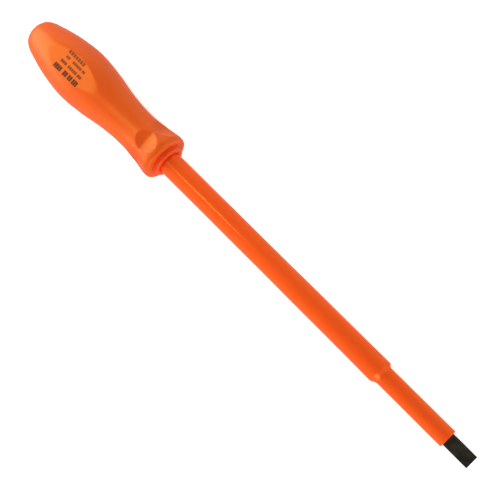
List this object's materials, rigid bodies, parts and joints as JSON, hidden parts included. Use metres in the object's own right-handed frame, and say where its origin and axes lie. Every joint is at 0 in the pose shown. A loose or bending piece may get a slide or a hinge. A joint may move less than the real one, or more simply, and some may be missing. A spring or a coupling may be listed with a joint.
{
  "type": "insulated slotted screwdriver",
  "caption": "Insulated slotted screwdriver with a stepped orange sleeve on a long round blade and a palm-swell handle.",
  "frame": {"origin": "centre of the blade tip's end face, on the tool's axis", "axes": "+X along the tool's axis, out of the tip; +Z square to the blade's flats and out of the label flat"},
  "size_m": [0.3075, 0.0306, 0.0271],
  "materials": {
    "blade_steel": "satin",
    "inner_layer": "matte",
    "spacer_plastic": "matte",
    "insulation_orange": "satin",
    "collar_orange": "satin",
    "core_plastic": "matte",
    "grip_orange": "satin",
    "ink": "matte"
  },
  "bodies": {
    "root": {"blade": "blade_steel", "inner_sleeve": "inner_layer", "spacer_tube": "spacer_plastic", "outer_skin": "insulation_orange", "nose_collar": "collar_orange", "handle_core": "core_plastic", "grip_shell": "grip_orange", "print_row_1": "ink", "print_row_2": "ink", "print_row_3": "ink", "print_row_4": "ink"}
  },
  "joints": []
}
